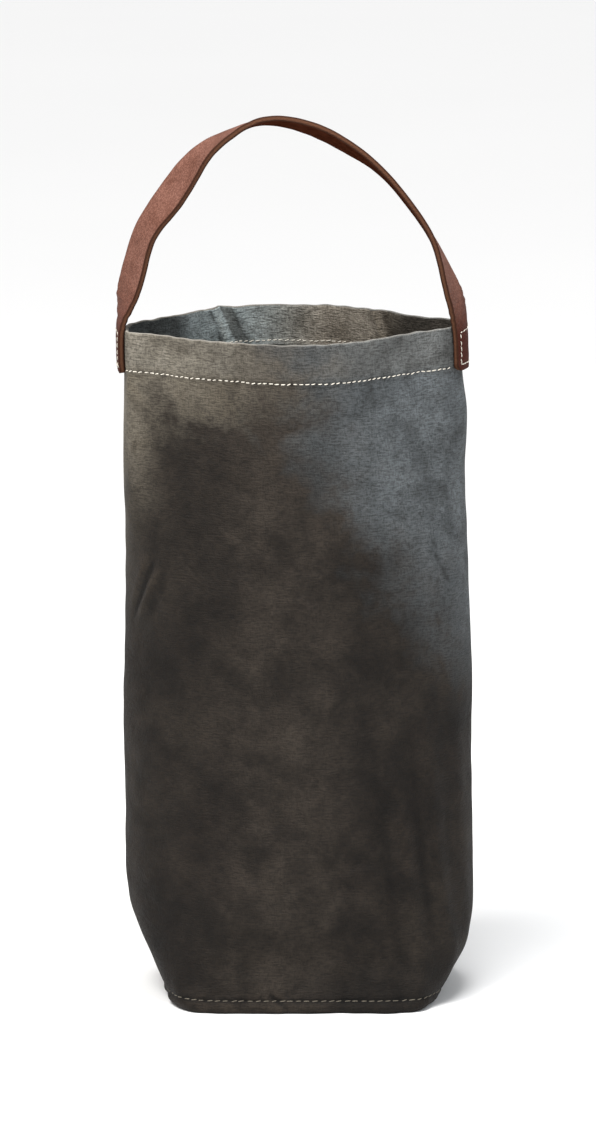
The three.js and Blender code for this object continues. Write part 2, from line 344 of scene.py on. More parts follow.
def wall_relief(s, z):
    """How far the wall stands out from its plain outline: sags, dents and creases."""
    free = np.clip(z / 60, 0, 1) * np.clip((RIM + 40 - z) / 60, 0, 1)
    facing = 0.35 + 0.65 * np.abs(np.sin(TURN * s / GIRTH))
    relief = 0.9 * free * facing * waves(s, z, 110, 150, seed=11)
    relief += 0.40 * free * facing * waves(s, z, 40, 70, seed=12)
    relief += 0.14 * facing * waves(s, z, 15, 20, seed=13)
    # soft upright folds low on the right of the front, with a dent beside them
    low = hump(z - 60, 52) * hump(around(s, FRONT + 50), 26)
    relief += 1.3 * low * np.cos(TURN * (around(s, FRONT) + 0.10 * z) / 17)
    relief -= 1.4 * hump(around(s, FRONT + 19), 7) * hump(z - 6, 14)
    # the right side swells out again below the strap's end
    relief += 1.8 * hump(around(s, 0), 14) * hump(z - 243, 16)
    for (start_s, start_z), (end_s, end_z), width, depth in CREASES:
        relief += crease(s, z, (FRONT + start_s, start_z), (FRONT + end_s, end_z), width, depth)
    for fold in (LEFT_FOLD, RIGHT_FOLD):
        relief += fold_strength(z) * fold_relief(fold, s, z)
    # small tucks above the base seam
    tuck = np.cos(TURN * s / 9.5 + 2 * waves(s, z, 60, 90, seed=14))
    relief += 0.16 * tuck * hump(z - 9, 7)
    return relief


def hem_step(z):
    """The hem stands out a little from the wall, with a pressed line under it."""
    below = z - (RIM - HEM_DEPTH)
    return 0.5 * smooth_step((below + 0.4) / 1.0) - 0.18 * hump(below + 0.7, 0.5)


def seam_relief(s, z):
    """Relief of the hem and the base seam, which the stitches pull in."""
    pucker = 0.75 + 0.25 * np.cos(TURN * s / HEM_STITCH_PITCH)
    relief = -0.5 * pucker * hump(z - HEM_STITCH_Z, 0.7)
    relief += 0.08 * np.cos(TURN * s / (2 * HEM_STITCH_PITCH)) * hump(z - HEM_STITCH_Z, 4)
    relief -= 0.55 * hump(z - BASE_STITCH_Z, 1.0)
    relief += 0.65 * hump(z - 2.6, 2.0)
    relief -= 1.5 * np.exp(-z / 0.8)
    relief += 0.35 * np.cos(TURN * s / 17 + waves(s, z, 40, 90, seed=15)) * hump(z - 2.5, 2.5)
    return relief


class Wall:
    """The outer surface of the wall as a fine table, read between its points."""

    STEP_Z = 0.5
    STEP_S = 0.5

    def __init__(self):
        self.heights = np.arange(0, RIM + self.STEP_Z / 2, self.STEP_Z)
        count = int(round(GIRTH / self.STEP_S))
        self.stations = np.arange(count) * GIRTH / count
        flat = outlines(self.heights, self.stations)
        mouth = mouth_outline(self.stations)
        share = smooth_step((self.heights - MOUTH_START) / (RIM - MOUTH_START))[:, None, None]
        flat += share * (mouth[:, :2] - flat[-1:])
        s, z = np.meshgrid(self.stations, self.heights)
        points = np.dstack([flat, z])
        relief = wall_relief(s, z) + seam_relief(s, z)
        points += self.outward(points) * (relief + hem_step(z))[..., None]
        frayed = 0.14 * waves(self.stations, 0 * self.stations, 11, 20, seed=17)
        points[..., 2] += (mouth[:, 2] + frayed) * (z / RIM) ** 8
        self.hollow = self.hollows(relief)[..., None]
        self.points = points
        self.normals = self.outward(points)

    @staticmethod
    def hollows(relief, reach=7):
        """About 1 in the bottom of a crease, -1 on a ridge and 0 where the wall is smooth."""
        around_it = np.zeros_like(relief)
        for shift in range(-reach, reach + 1):
            around_it += np.roll(relief, shift, axis=1)
            rows = np.clip(np.arange(len(relief)) + shift, 0, len(relief) - 1)
            around_it += relief[rows]
        return np.clip((around_it / (4 * reach + 2) - relief) / 0.3, -1, 1)

    @staticmethod
    def outward(points):
        tangent = np.roll(points, -1, axis=1) - np.roll(points, 1, axis=1)
        rise = np.gradient(points, axis=0)
        return unit(np.cross(tangent, rise))

    def read(self, table, s, z):
        row = np.clip(z / self.STEP_Z, 0, len(self.heights) - 1.001)
        column = (s % GIRTH) / GIRTH * len(self.stations)
        i, j = row.astype(int), column.astype(int) % len(self.stations)
        v, u = (row - i)[..., None], (column - np.floor(column))[..., None]
        k = (j + 1) % len(self.stations)
        low = table[i, j] * (1 - u) + table[i, k] * u
        high = table[i + 1, j] * (1 - u) + table[i + 1, k] * u
        return low * (1 - v) + high * v

    def at(self, s, z, out=0.0):
        """Points at s and z, that far out from the surface. Above the rim they go straight up."""
        s, z = np.broadcast_arrays(np.asarray(s, float), np.asarray(z, float))
        normal = self.normal(s, z)
        points = self.read(self.points, s, z) + normal * np.asarray(out)[..., None]
        points[..., 2] += np.maximum(z - self.heights[-1], 0)
        return points

    def normal(self, s, z):
        s, z = np.broadcast_arrays(np.asarray(s, float), np.asarray(z, float))
        return unit(self.read(self.normals, s, z))


# ---- mesh helpers
def make_object(name, vertices, faces, uv=None, sharp_degrees=50):
    """A smooth-shaded mesh object from millimetre points, with uv in metres."""
    mesh = bpy.data.meshes.new(name)
    mesh.from_pydata((np.asarray(vertices) * MM).tolist(), [], faces)
    if uv is not None:
        layer = mesh.uv_layers.new(name="sheet")
        corners = np.empty(len(mesh.loops), np.int32)
        mesh.loops.foreach_get("vertex_index", corners)
        layer.data.foreach_set("uv", (np.asarray(uv)[corners] * MM).ravel())
    mesh.shade_smooth()
    mesh.set_sharp_from_angle(angle=math.radians(sharp_degrees))
    obj = bpy.data.objects.new(name, mesh)
    bpy.context.scene.collection.objects.link(obj)
    return obj


def mark(obj, name, values):
    """A number for each vertex, which the material reads."""
    layer = obj.data.attributes.new(name, "FLOAT", "POINT")
    layer.data.foreach_set("value", np.asarray(values, np.float32).ravel())


def grid_faces(rows, columns, offset=0, flip=False, wrap=False):
    """Quads of a grid of points stored row by row."""
    span = columns if wrap else columns - 1
    i, j = np.meshgrid(np.arange(rows - 1), np.arange(span), indexing="ij")
    k = (j + 1) % columns
    a, b, c, d = i * columns + j, i * columns + k, (i + 1) * columns + k, (i + 1) * columns + j
    order = (a, d, c, b) if flip else (a, b, c, d)
    return (np.stack([x.ravel() for x in order], axis=1) + offset).tolist()


def tube_faces(rows, columns, offset=0, flip=False):
    """Quads of a grid of points that closes on itself, then a cap at each end."""
    last = offset + (rows - 1) * columns
    caps = [tuple(range(offset, offset + columns))[::-1], tuple(range(last, last + columns))]
    if flip:
        caps = [cap[::-1] for cap in caps]
    return grid_faces(rows, columns, offset, flip, True) + caps


def strip_faces(first, second):
    """Quads between two equally long lists of point numbers."""
    return [(first[i], second[i], second[i + 1], first[i + 1]) for i in range(len(first) - 1)]


def grid_normals(grid, wrap=False):
    if wrap:
        across = np.roll(grid, -1, axis=1) - np.roll(grid, 1, axis=1)
    else:
        across = np.gradient(grid, axis=1)
    normal = np.cross(across, np.gradient(grid, axis=0))
    return normal / np.maximum(np.linalg.norm(normal, axis=2, keepdims=True), 1e-9)


def thick_grid(middle, uv, thickness, wrap=False):
    """A closed sheet of that thickness round a grid of middle points."""
    rows, columns = middle.shape[:2]
    shift = grid_normals(middle, wrap) * thickness / 2
    count = rows * columns
    vertices = np.concatenate([(middle + shift).reshape(-1, 3), (middle - shift).reshape(-1, 3)])
    faces = grid_faces(rows, columns, 0, False, wrap) + grid_faces(rows, columns, count, True, wrap)
    index = np.arange(count).reshape(rows, columns)
    first, last = index[0].tolist(), index[-1].tolist()
    if wrap:
        first, last = first + first[:1], last + last[:1]
    borders = [first[::-1], last]
    if not wrap:
        borders += [index[:, 0].tolist(), index[::-1, -1].tolist()]
    for border in borders:
        faces += strip_faces(border, [v + count for v in border])
    both = np.concatenate([uv.reshape(-1, 2), uv.reshape(-1, 2)])
    return vertices, faces, both


def joined(parts):
    """Several (vertices, faces, uv) as one."""
    vertices, faces, uv, offset = [], [], [], 0
    for part_vertices, part_faces, part_uv in parts:
        vertices.append(part_vertices)
        uv.append(part_uv)
        faces += [tuple(v + offset for v in face) for face in part_faces]
        offset += len(part_vertices)
    return np.concatenate(vertices), faces, np.concatenate(uv)


def stations_between(*stops):
    """Numbers through the stops: each stop is (value, step up to it)."""
    values = [stops[0][0]]
    for value, step in stops[1:]:
        start = values[-1]
        count = max(1, int(math.ceil(abs(value - start) / step)))
        values += list(np.linspace(start, value, count + 1)[1:])
    return np.array(values)


# ---- panels
def panel_columns():
    """Distances across one panel, from seam to seam."""
    edge = stations_between((0, 1), (0.8, 0.2), (2.4, 0.4), (9, 0.8))
    middle = stations_between((9, 1), (HALF_GIRTH - 9, 1.35))
    return np.concatenate([edge, middle[1:-1], HALF_GIRTH - edge[::-1]])


def seam_layers(across):
    """1 over the pressed seam allowances, which the hem passes over, and 0 elsewhere."""
    from_seam = np.minimum(across, HALF_GIRTH - across)
    return 1 / (1 + np.exp((from_seam - SEAM_ALLOWANCE - 1.2) / 0.5))


def panel_rows(across):
    """Height and inset of each row of a panel: up the wall, over the fold and down as the hem."""
    wall_inset = np.full_like(across, SHEET / 2)
    hem_inset = SHEET / 2 + (SHEET + LAYER_GAP) * (1 + seam_layers(across))
    radius = (hem_inset - SHEET / 2) / 2
    turn_z = RIM - SHEET / 2 - radius
    straight_top = RIM - 4
    rows = []
    for z in stations_between((0, 1), (8, 0.55), (40, 1.25), (RIM - 22, 1.5), (straight_top, 0.6)):
        rows.append((np.full_like(across, z), wall_inset))
    for share in np.linspace(0.25, 1, 4):
        rows.append((straight_top + share * (turn_z - straight_top), wall_inset))
    fold_top = len(rows) + FOLD_STEPS // 2 - 1
    for angle in np.linspace(0, math.pi, FOLD_STEPS + 1)[1:]:
        inset = SHEET / 2 + radius * (1 - math.cos(angle))
        rows.append((turn_z + radius * math.sin(angle), inset))
    for share in np.linspace(0, 1, 15)[1:]:
        rows.append((turn_z + share * (RIM - HEM_DEPTH - turn_z), hem_inset))
    z, inset = (np.array(values) for values in zip(*rows))
    return z, inset, fold_top


def seam_rounding(across):
    """How far the sheet has turned in where it bends over at the side seams."""
    to_seam = np.maximum(SHEET - np.minimum(across, HALF_GIRTH - across), 0)
    return SHEET - np.sqrt(np.maximum(SHEET**2 - to_seam**2, 0))


def panel_middle(wall, start):
    """The middle of a panel's sheet, its uv, and how hollow each point is outside and inside, with
    the folds' painted shade added inside; the material paints shade and highlights from these.
    """
    across = panel_columns()
    z, inset, fold_top = panel_rows(across)
    s = start + SEAM_GAP + across * (HALF_GIRTH - 2 * SEAM_GAP) / HALF_GIRTH
    grid_s = s[None, :] + 0 * z
    points = wall.at(grid_s, z, -(inset + 0.8 * seam_rounding(across)[None, :]))
    # the uv's v follows the sheet up and over the fold, and is RIM at the fold's top
    length = distances_along(points[:, UV_COLUMN])
    length += RIM - length[fold_top]
    uv = np.dstack(np.meshgrid(start + across, length))
    low_z = np.minimum(z, RIM)
    hollow = wall.read(wall.hollow, grid_s, low_z)[..., 0]
    return points, uv, (hollow, fold_shadow(grid_s, low_z) - hollow)


def seam_allowance(wall, seam, direction):
    """One panel's turned edge, pressed flat inside the wall."""
    across = np.linspace(0.4, SEAM_ALLOWANCE, 8)
    z = stations_between((SEAM_START, 1), (RIM - 5, 2.2))
    inward = SHEET / 2 + SHEET + LAYER_GAP
    grid_s, grid_z = np.meshgrid(seam + direction * across, z)
    points = wall.at(grid_s, grid_z, -inward)
    # it leans away from the wall towards its free edge
    points[..., 0] -= 0.15 * np.sign(points[..., 0]) * (across / SEAM_ALLOWANCE) ** 2
    if direction < 0:
        points, grid_s, grid_z = points[:, ::-1], grid_s[:, ::-1], grid_z[:, ::-1]
    return thick_grid(points, np.dstack([grid_s, grid_z]), SHEET)


def wall_panel(wall, name, start, node, paint):
    middle, uv, hollows = panel_middle(wall, start)
    parts = [
        thick_grid(middle, uv, SHEET),
        seam_allowance(wall, start, 1),
        seam_allowance(wall, start + HALF_GIRTH, -1),
    ]
    panel = make_object(name, *joined(parts))
    # the right side of the sheet comes first: it faces out on the wall and in on the hem
    outside_count = len(middle.reshape(-1, 3))
    inside = np.ones(len(panel.data.vertices))
    inside[:outside_count] = uv[..., 1].ravel() > RIM + 0.4
    mark(panel, "inside", inside)
    # the paper's material paints shade in hollows and highlights on ridges from this mark, and the
    # folds' shade inside
    hollow = np.zeros(len(inside))
    hollow[: 2 * outside_count] = np.concatenate([side.ravel() for side in hollows])
    folded_in = inside[:outside_count] > 0
    hollow[:outside_count][folded_in] = hollows[1].ravel()[folded_in]
    mark(panel, "hollow", hollow)
    panel.data.materials.append(paint)
    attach(panel, "bag")
    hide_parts(node)


def base_rows(wall, s):
    """Rows of the base's middle points from its centre to its upturned edge, and their lengths."""
    edge = wall.at(s, 3.0, -FLANGE_INSET)
    centre = np.array([0, 0, SHEET / 2])
    rows, lengths = [], []
    for share in np.concatenate([[0.02], np.linspace(0.08, 0.9, 22)]):
        row = centre + share * (edge - centre)
        sag = 0.5 * waves(s, share * 60 + 0 * s, 60, 60, seed=21) * (1 - share) * share
        row[:, 2] = SHEET / 2 + np.maximum(sag, 0)
        rows.append(row)
        lengths.append(share * BASE_REACH)
    flat_edge = edge * [1, 1, 0] + centre
    inward = unit(flat_edge - centre)
    for angle in np.linspace(0, math.pi / 2, 8):
        row = flat_edge - inward * BASE_BEND_RADIUS * (1 - math.sin(angle))
        row[:, 2] = SHEET / 2 + BASE_BEND_RADIUS * (1 - math.cos(angle))
        rows.append(row)
        lengths.append(BASE_REACH + angle * BASE_BEND_RADIUS)
    for z in np.linspace(SHEET / 2 + BASE_BEND_RADIUS, FLANGE_HEIGHT, 7)[1:]:
        rows.append(wall.at(s, z, -FLANGE_INSET))
        lengths.append(BASE_REACH + z)
    return np.array(rows), lengths


def base_panel(wall, paint):
    """A shallow tray of sheet whose upturned edge is sewn inside the wall."""
    s = np.linspace(0, GIRTH, 281)[:-1]
    rows, lengths = base_rows(wall, s)
    uv = np.dstack(np.meshgrid(s[::-1], lengths))
    vertices, faces, both = thick_grid(rows[:, ::-1], uv, SHEET, wrap=True)
    columns, count = len(s), len(vertices) // 2
    # the first row's rim is replaced by a cap on each side
    faces = [f for f in faces if not all(v % count < columns for v in f)]
    faces.append(tuple(range(columns))[::-1])
    faces.append(tuple(range(count, count + columns)))
    panel = make_object("base_sheet", vertices, faces, both)
    for name in ("inside", "hollow"):
        mark(panel, name, np.zeros(len(vertices)))
    panel.data.materials.append(paint)
    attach(panel, "bag")
    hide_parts("base_panel")


# ---- strap
def even(line, step):
    """A line's points, all its columns, at even steps along its first three."""
    along = distances_along(line[:, :3])
    wanted = np.linspace(0, along[-1], int(along[-1] / step) + 1)
    return read_line(wanted, along, line)


def softened(line, passes):
    """A line whose inner points are moved towards their neighbours' middle, its ends kept."""
    for _ in range(passes):
        line[1:-1] = (line[:-2] + 2 * line[1:-1] + line[2:]) / 4
    return line


class Strap:
    """The whole strap: sewn end, arch and sewn end, as a middle line with a frame."""

    STEP = 0.8
    SOFTENING_PASSES = 40

    def __init__(self, wall):
        self.wall = wall
        sewn_z = np.linspace(STRAP_BOTTOM, RIM, 6)
        left = wall.at(LEFT_END_S, sewn_z, STRAP_LIFT)
        right = wall.at(RIGHT_END_S, sewn_z[::-1], STRAP_LIFT)
        arch = np.array([(x, y, RIM + ARCH_FOOT + rise) for x, y, rise, _ in ARCH])
        turn = np.array([a[3] for a in ARCH], float)
        sewn = np.ones(len(sewn_z))
        turns = np.concatenate([sewn * turn[0], turn[1:-1], sewn * turn[-1]])
        line = np.column_stack([np.vstack([left, arch[1:-1], right]), turns])
        line = softened(even(through(line), self.STEP), self.SOFTENING_PASSES)
        self.points = line[:, :3]
        self.turn = np.radians(line[:, 3])
        self.spacing = np.linalg.norm(np.diff(self.points, axis=0), axis=1).mean()
        self.make_frames()

    def make_frames(self):
        forward = unit(np.gradient(self.points, axis=0))
        side = unit(np.array([0, 1, 0]) - forward * forward[:, 1:2])
        face = np.cross(forward, side)
        cos, sin = np.cos(self.turn)[:, None], np.sin(self.turn)[:, None]
        self.across = side * cos + face * sin
        self.out = face * cos - side * sin

    def sewn_share(self):
        """1 where the strap lies on the wall, falling to 0 as it leaves the rim."""
        return 1 - smooth_step((self.points[:, 2] - (RIM - 3)) / 17)

    def surface(self, index, across, out):
        """Points of the strap at those steps along it, across from its middle and out from it."""
        at = self.points[index]
        flat = at + self.across[index] * across[..., None] + self.out[index] * out[..., None]
        left = at[..., 0] < 0
        middle = np.where(left, LEFT_END_S, RIGHT_END_S)
        towards_back = np.where(left, -1.0, 1.0)
        low_z = np.minimum(at[..., 2], RIM)
        held = self.wall.at(middle + towards_back * across, low_z, STRAP_LIFT + out)
        held[..., 2] = flat[..., 2]
        drift = at - self.wall.at(middle, low_z, STRAP_LIFT)
        drift[..., 2] = 0
        share = self.sewn_share()[index][..., None]
        return held * share + drift * share + flat * (1 - share)


def strap_section(count=7):
    """Across and out of each point round the strap's section, with rounded long edges."""
    half_t, r = STRAP_THICKNESS / 2, STRAP_EDGE_RADIUS
    angles = np.linspace(0, math.pi / 2, 4)
    edge = STRAP_WIDTH / 2 - r
    across, out = [], []
    for sign_x, sign_y in ((1, 1), (-1, 1), (-1, -1), (1, -1)):
        opens_face = sign_x * sign_y > 0
        for angle in angles if opens_face else angles[::-1]:
            across.append(sign_x * (edge + r * math.cos(angle)))
            out.append(sign_y * (half_t - r + r * math.sin(angle)))
        if opens_face:
            across += list(np.linspace(edge, -edge, count + 2)[1:-1] * sign_x)
            out += [sign_y * half_t] * count
    return np.array(across), np.array(out)


def strap_rings(strap, length, from_end):
    """The strap's surface, one ring of points round its section for each step along it."""
    across, out = strap_section()
    rest = np.maximum(STRAP_CORNER_RADIUS - from_end, 0)
    rounded = STRAP_CORNER_RADIUS - np.sqrt(STRAP_CORNER_RADIUS**2 - rest**2)
    wide = across * (1 - rounded / (STRAP_WIDTH / 2))[:, None]
    along = length[:, None] + 0 * wide
    edge_wear = 0.10 * waves(along, wide * 2, 9, 30, seed=31)
    wide = wide * (1 + 0.006 * waves(length, 0 * length, 30, 30, seed=32)[:, None])
    # the leather wrinkles where it bends above each sewn end, and is thinner at its long edges
    bent = hump(from_end[:, None] - 26, 7)
    wrinkles = 0.16 * bent * waves(along, wide * 0.6, 3.4, 12, seed=33)
    thinned = 1 - 0.04 * hump(np.abs(wide) - STRAP_WIDTH / 2, 2)
    index = np.repeat(np.arange(len(length))[:, None], len(across), axis=1)
    return strap.surface(index, wide, out * thinned + edge_wear * 0.3 + wrinkles)


def mark_strap(obj, from_end, rows, columns):
    """What the strap's materials read: which face a point is on, its cut edges and its two ends."""
    across, out = strap_section()
    near_edge = smooth_step((np.abs(across) - (STRAP_WIDTH / 2 - CUT_EDGE_WIDTH)) / 0.5)
    mark(obj, "outer_face", np.broadcast_to(out / (STRAP_THICKNESS / 2), (rows, columns)))
    mark(obj, "strap_edge", np.broadcast_to(near_edge, (rows, columns)))
    mark(obj, "from_end", np.broadcast_to(from_end[:, None] * MM, (rows, columns)))
    is_under = out < -STRAP_THICKNESS / 2 + 0.1
    under = np.tile(is_under & np.roll(is_under, -1), rows - 1)
    # the two end caps come last, and aren't part of the underside
    under = np.append(under, [False, False]).astype(np.int32)
    obj.data.polygons.foreach_set("material_index", under)


def strap_mesh(strap, face_paint, under_paint):
    """The whole strap as one piece."""
    across, out = strap_section()
    length = np.arange(len(strap.points)) * strap.spacing
    from_end = np.minimum(length, length[-1] - length)
    rings = strap_rings(strap, length, from_end)
    rows, columns = rings.shape[:2]
    round_section, along = np.meshgrid(out * 3 + across, length)
    uv = np.dstack([along, round_section])
    faces = tube_faces(rows, columns)
    obj = make_object("leather_strap", rings.reshape(-1, 3), faces, uv.reshape(-1, 2), 60)
    obj.data.materials.append(face_paint)
    obj.data.materials.append(under_paint)
    mark_strap(obj, from_end, rows, columns)
    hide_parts("handle_strap", "strap_end_left", "strap_end_right")
    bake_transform(obj)


# ---- stitches
def stitch_rings(line, normals, pitch, seed, radius=THREAD_RADIUS):
    """Separate stitches along a line on a surface: each rises from its hole and dips back."""
    rng = np.random.default_rng(seed)
    along = distances_along(line)
    count = int(round(along[-1] / pitch))
    share = np.linspace(-1, 1, STITCH_RINGS)
    angle = np.linspace(0, TURN, STITCH_SIDES, endpoint=False)
    cos, sin = np.cos(angle)[:, None], np.sin(angle)[:, None]
    # a stitch is thinner at its two ends, which dip below the surface
    thickness = radius * (0.55 + 0.45 * np.sqrt(1 - share**2 * 0.95))[:, None, None]
    lift = radius * (1.15 * np.sqrt(np.maximum(1 - share**2, 0)) - 0.55)
    stitches = []
    for k in range(count):
        middle = (k + 0.5 + 0.05 * rng.standard_normal()) * along[-1] / count
        half = pitch * 0.5 * rng.uniform(0.62, 0.80)
        slant = radius * (0.7 + 0.5 * rng.standard_normal())
        at = np.clip(middle + half * share, 0, along[-1])
        centre = read_line(at, along, line)
        up = unit(read_line(at, along, normals))
        side = np.cross(up, unit(np.gradient(centre, axis=0)))
        centre = centre + up * lift[:, None] + side * (slant * share)[:, None]
        outward = side[:, None] * cos + 0.85 * up[:, None] * sin
        stitches.append(centre[:, None] + thickness * outward)
    return stitches


def stitch_object(node, stitches, paint):
    """One mesh of all the stitches of a thread, each a short capped tube."""
    faces = []
    for k in range(len(stitches)):
        faces += tube_faces(STITCH_RINGS, STITCH_SIDES, k * STITCH_RINGS * STITCH_SIDES, flip=True)
    name = node.replace("stitching", "stitches")
    obj = make_object(name, np.array(stitches).reshape(-1, 3), faces)
    obj.data.materials.append(paint)
    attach(obj, "bag")
    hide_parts(node)


def hem_stitches(wall, node, start, end, paint, seed):
    """The hem's stitches, outside on the wall and inside on the turned edge."""
    s = np.arange(start, end, 0.5)
    normals = wall.normal(s, HEM_STITCH_Z)
    outside = stitch_rings(wall.at(s, HEM_STITCH_Z), normals, HEM_STITCH_PITCH, seed)
    inner = wall.at(s, HEM_STITCH_Z + 0.8, -(2 * SHEET + LAYER_GAP))
    inside = stitch_rings(inner, -normals, HEM_STITCH_PITCH, seed + 100)
    stitch_object(node, outside + inside, paint)


def base_stitches(wall, paint):
    s = np.append(np.arange(0, GIRTH, 0.5), 0)
    line, normals = wall.at(s, BASE_STITCH_Z), wall.normal(s, BASE_STITCH_Z)
    stitches = stitch_rings(line, normals, BASE_STITCH_PITCH, seed=43, radius=BASE_THREAD_RADIUS)
    stitch_object("base_stitching", stitches, paint)


def side_seam_stitches(wall, node, seam, paint, seed):
    z = np.arange(SEAM_START + 2, RIM - HEM_DEPTH - 1, 0.5)
    line = wall.at(seam, z, -(2 * SHEET + LAYER_GAP))
    stitches = stitch_rings(line, -wall.normal(seam, z), SEAM_STITCH_PITCH, seed)
    stitch_object(node, stitches, paint)


def box_stitches(strap, node, at_left, paint, seed):
    """A box of stitches on the outer face of one sewn end."""
    near, far = (-BOX_HALF_WIDTH, BOX_NEAR), (BOX_HALF_WIDTH, BOX_FAR)
    corners = [near, (far[0], near[1]), far, (near[0], far[1]), near]
    sides = zip(corners, corners[1:])
    across, from_end = np.vstack([np.linspace(a, b, 40, endpoint=False) for a, b in sides]).T
    exact = from_end / strap.spacing
    if not at_left:
        exact = len(strap.points) - 1 - exact
    nearest = np.round(exact).astype(int)
    out = np.full(len(across), STRAP_THICKNESS / 2)
    line = strap.surface(nearest, across, out)
    line[:, 2] += (exact - nearest) * strap.spacing * (1 if at_left else -1)
    normals = strap.surface(nearest, across, out + 1) - strap.surface(nearest, across, out)
    closed, closed_normals = np.vstack([line, line[:1]]), np.vstack([normals, normals[:1]])
    stitches = stitch_rings(closed, closed_normals, BOX_STITCH_PITCH, seed, BOX_THREAD_RADIUS)
    stitch_object(node, stitches, paint)


# ---- materials
class Paint:
    """A material's node graph, built one node at a time."""

    def __init__(self, name):
        self.material = bpy.data.materials.new(name)
        self.material.use_nodes = True
        self.tree = self.material.node_tree
        self.tree.nodes.clear()
        self.shader = self.add("ShaderNodeBsdfPrincipled")
        output = self.add("ShaderNodeOutputMaterial")
        self.tree.links.new(self.shader.outputs[0], output.inputs[0])

    def add(self, kind, inputs=None, **settings):
        """A new node of that kind, with values or links for its inputs."""
        node = self.tree.nodes.new(kind)
        for key, value in settings.items():
            setattr(node, key, value)
        for key, value in (inputs or {}).items():
            self.put(node.inputs[key], value)
        return node

    def put(self, socket, value):
        if isinstance(value, bpy.types.NodeSocket):
            self.tree.links.new(value, socket)
        else:
            socket.default_value = value

    def uv(self):
        return self.add("ShaderNodeUVMap", uv_map="sheet").outputs[0]

    def place(self):
        return self.add("ShaderNodeTexCoord").outputs["Object"]

    def attribute(self, name):
        return self.add("ShaderNodeAttribute", attribute_name=name).outputs["Fac"]

    def math(self, operation, a, b=0.0):
        return self.add("ShaderNodeMath", {0: a, 1: b}, operation=operation).outputs[0]

    def times(self, a, b):
        return self.math("MULTIPLY", a, b)

    def plus(self, a, b):
        return self.math("ADD", a, b)

    def mix(self, factor, a, b, blend="MIX"):
        node = self.add("ShaderNodeMix", data_type="RGBA", blend_type=blend)
        for index, value in ((0, factor), (6, a), (7, b)):
            self.put(node.inputs[index], value)
        return node.outputs[2]

    def mapped(self, vector, scale, offset=(0, 0, 0)):
        inputs = {"Vector": vector, "Scale": scale, "Location": offset}
        return self.add("ShaderNodeMapping", inputs).outputs[0]

    def noise(self, vector, scale, detail=4, roughness=0.55, distortion=0.0):
        inputs = {"Vector": vector, "Scale": scale, "Detail": detail}
        inputs |= {"Roughness": roughness, "Distortion": distortion}
        return self.add("ShaderNodeTexNoise", inputs).outputs["Fac"]

    def span(self, value, low, high, to_low=0.0, to_high=1.0):
        """value from low to high, as to_low to to_high, smoothly and clamped."""
        node = self.add(
            "ShaderNodeMapRange",
            {"Value": value, "From Min": low, "From Max": high, "To Min": to_low, "To Max": to_high},
            interpolation_type="SMOOTHSTEP",
        )
        return node.outputs[0]

    def bump(self, height, strength, distance, normal=None):
        inputs = {"Height": height, "Strength": strength, "Distance": distance}
        if normal is not None:
            inputs["Normal"] = normal
        return self.add("ShaderNodeBump", inputs).outputs[0]

    def finish(self, **inputs):
        for key, value in inputs.items():
            self.put(self.shader.inputs[key.replace("_", " ")], value)
        return self.material


def colour(red, green, blue):
    """A linear colour from the usual 0 to 255 display values."""
    shares = [c / 255 for c in (red, green, blue)]
    linear = [((c + 0.055) / 1.055) ** 2.4 if c > 0.04045 else c / 12.92 for c in shares]
    return (*linear, 1.0)


def body_tone_and_painted_light(p, x, z, off_middle, cloud, wander):
    """Dark brown grey with light and shade painted in: a painted highlight near the middle, painted
    light high up on the left, cooler bluish painted light on the right, and painted shade low on the
    right. The mask of the bluish painted light is returned too.
    """
    dark = p.mix(p.span(cloud, 0.35, 0.65), colour(35, 29, 24), colour(46, 40, 34))
    # painted highlight: paler near the middle of the front
    painted_centre_highlight = p.mix(p.span(off_middle, 0.040, 0.004, 0.0, 0.55), dark, colour(65, 58, 51))
    drift = p.times(p.math("SUBTRACT", cloud, 0.5), 0.08)
    height = p.plus(z, wander)
    side = p.plus(x, drift)
    # painted light: a paler, warmer grey high up on the left and in a strip down the left side
    painted_light_upper_left = p.times(p.span(height, 0.236, 0.268), p.span(side, 0.030, -0.075))
    painted_light_left_strip = p.times(p.span(height, 0.150, 0.262, 0.0, 0.8), p.span(side, -0.046, -0.068))
    warm_painted_light = p.mix(p.math("MAXIMUM", painted_light_upper_left, painted_light_left_strip), painted_centre_highlight, colour(138, 131, 118))
    # painted light: a cooler, bluish grey on the upper right, fading out lower down
    slope = p.times(p.math("MINIMUM", z, 0.243), 0.72)
    diagonal = p.plus(p.plus(side, wander), slope)
    painted_cool_light = p.times(p.span(diagonal, 0.157, 0.207), p.span(z, 0.10, 0.16))
    lit = p.mix(painted_cool_light, warm_painted_light, colour(107, 112, 115))
    # painted shade: darker low on the right, just above the base
    painted_shade_low_right = p.times(p.span(z, 0.030, 0.006, 0.0, 0.7), p.span(x, -0.015, 0.015))
    return p.mix(painted_shade_low_right, lit, colour(22, 18, 15)), painted_cool_light


def hem_painted_light(p, z, off_middle, body):
    """Painted light on the hem's double layer high on the wall: it is paler, least in the middle."""
    hem = p.span(z, (HEM_STITCH_Z - 2) * MM, (HEM_STITCH_Z + 4) * MM)
    share = p.times(hem, p.span(off_middle, 0.004, 0.030, 0.12, 0.36))
    return p.mix(share, body, colour(122, 119, 112))


def inside_painted_light(p, x):
    """Painted light on the inner face: paler, bluish on the left and warmer on the right, with
    painted shade dark at the mouth's two tips.
    """
    painted_lit_lining = p.mix(p.span(x, -0.028, 0.015), colour(180, 190, 191), colour(152, 144, 132))
    # painted shade where the mouth narrows to its two tips
    tips = p.math("MAXIMUM", p.span(x, -0.040, -0.050), p.span(x, 0.036, 0.047))
    return p.mix(p.times(tips, 0.8), painted_lit_lining, colour(50, 47, 43))


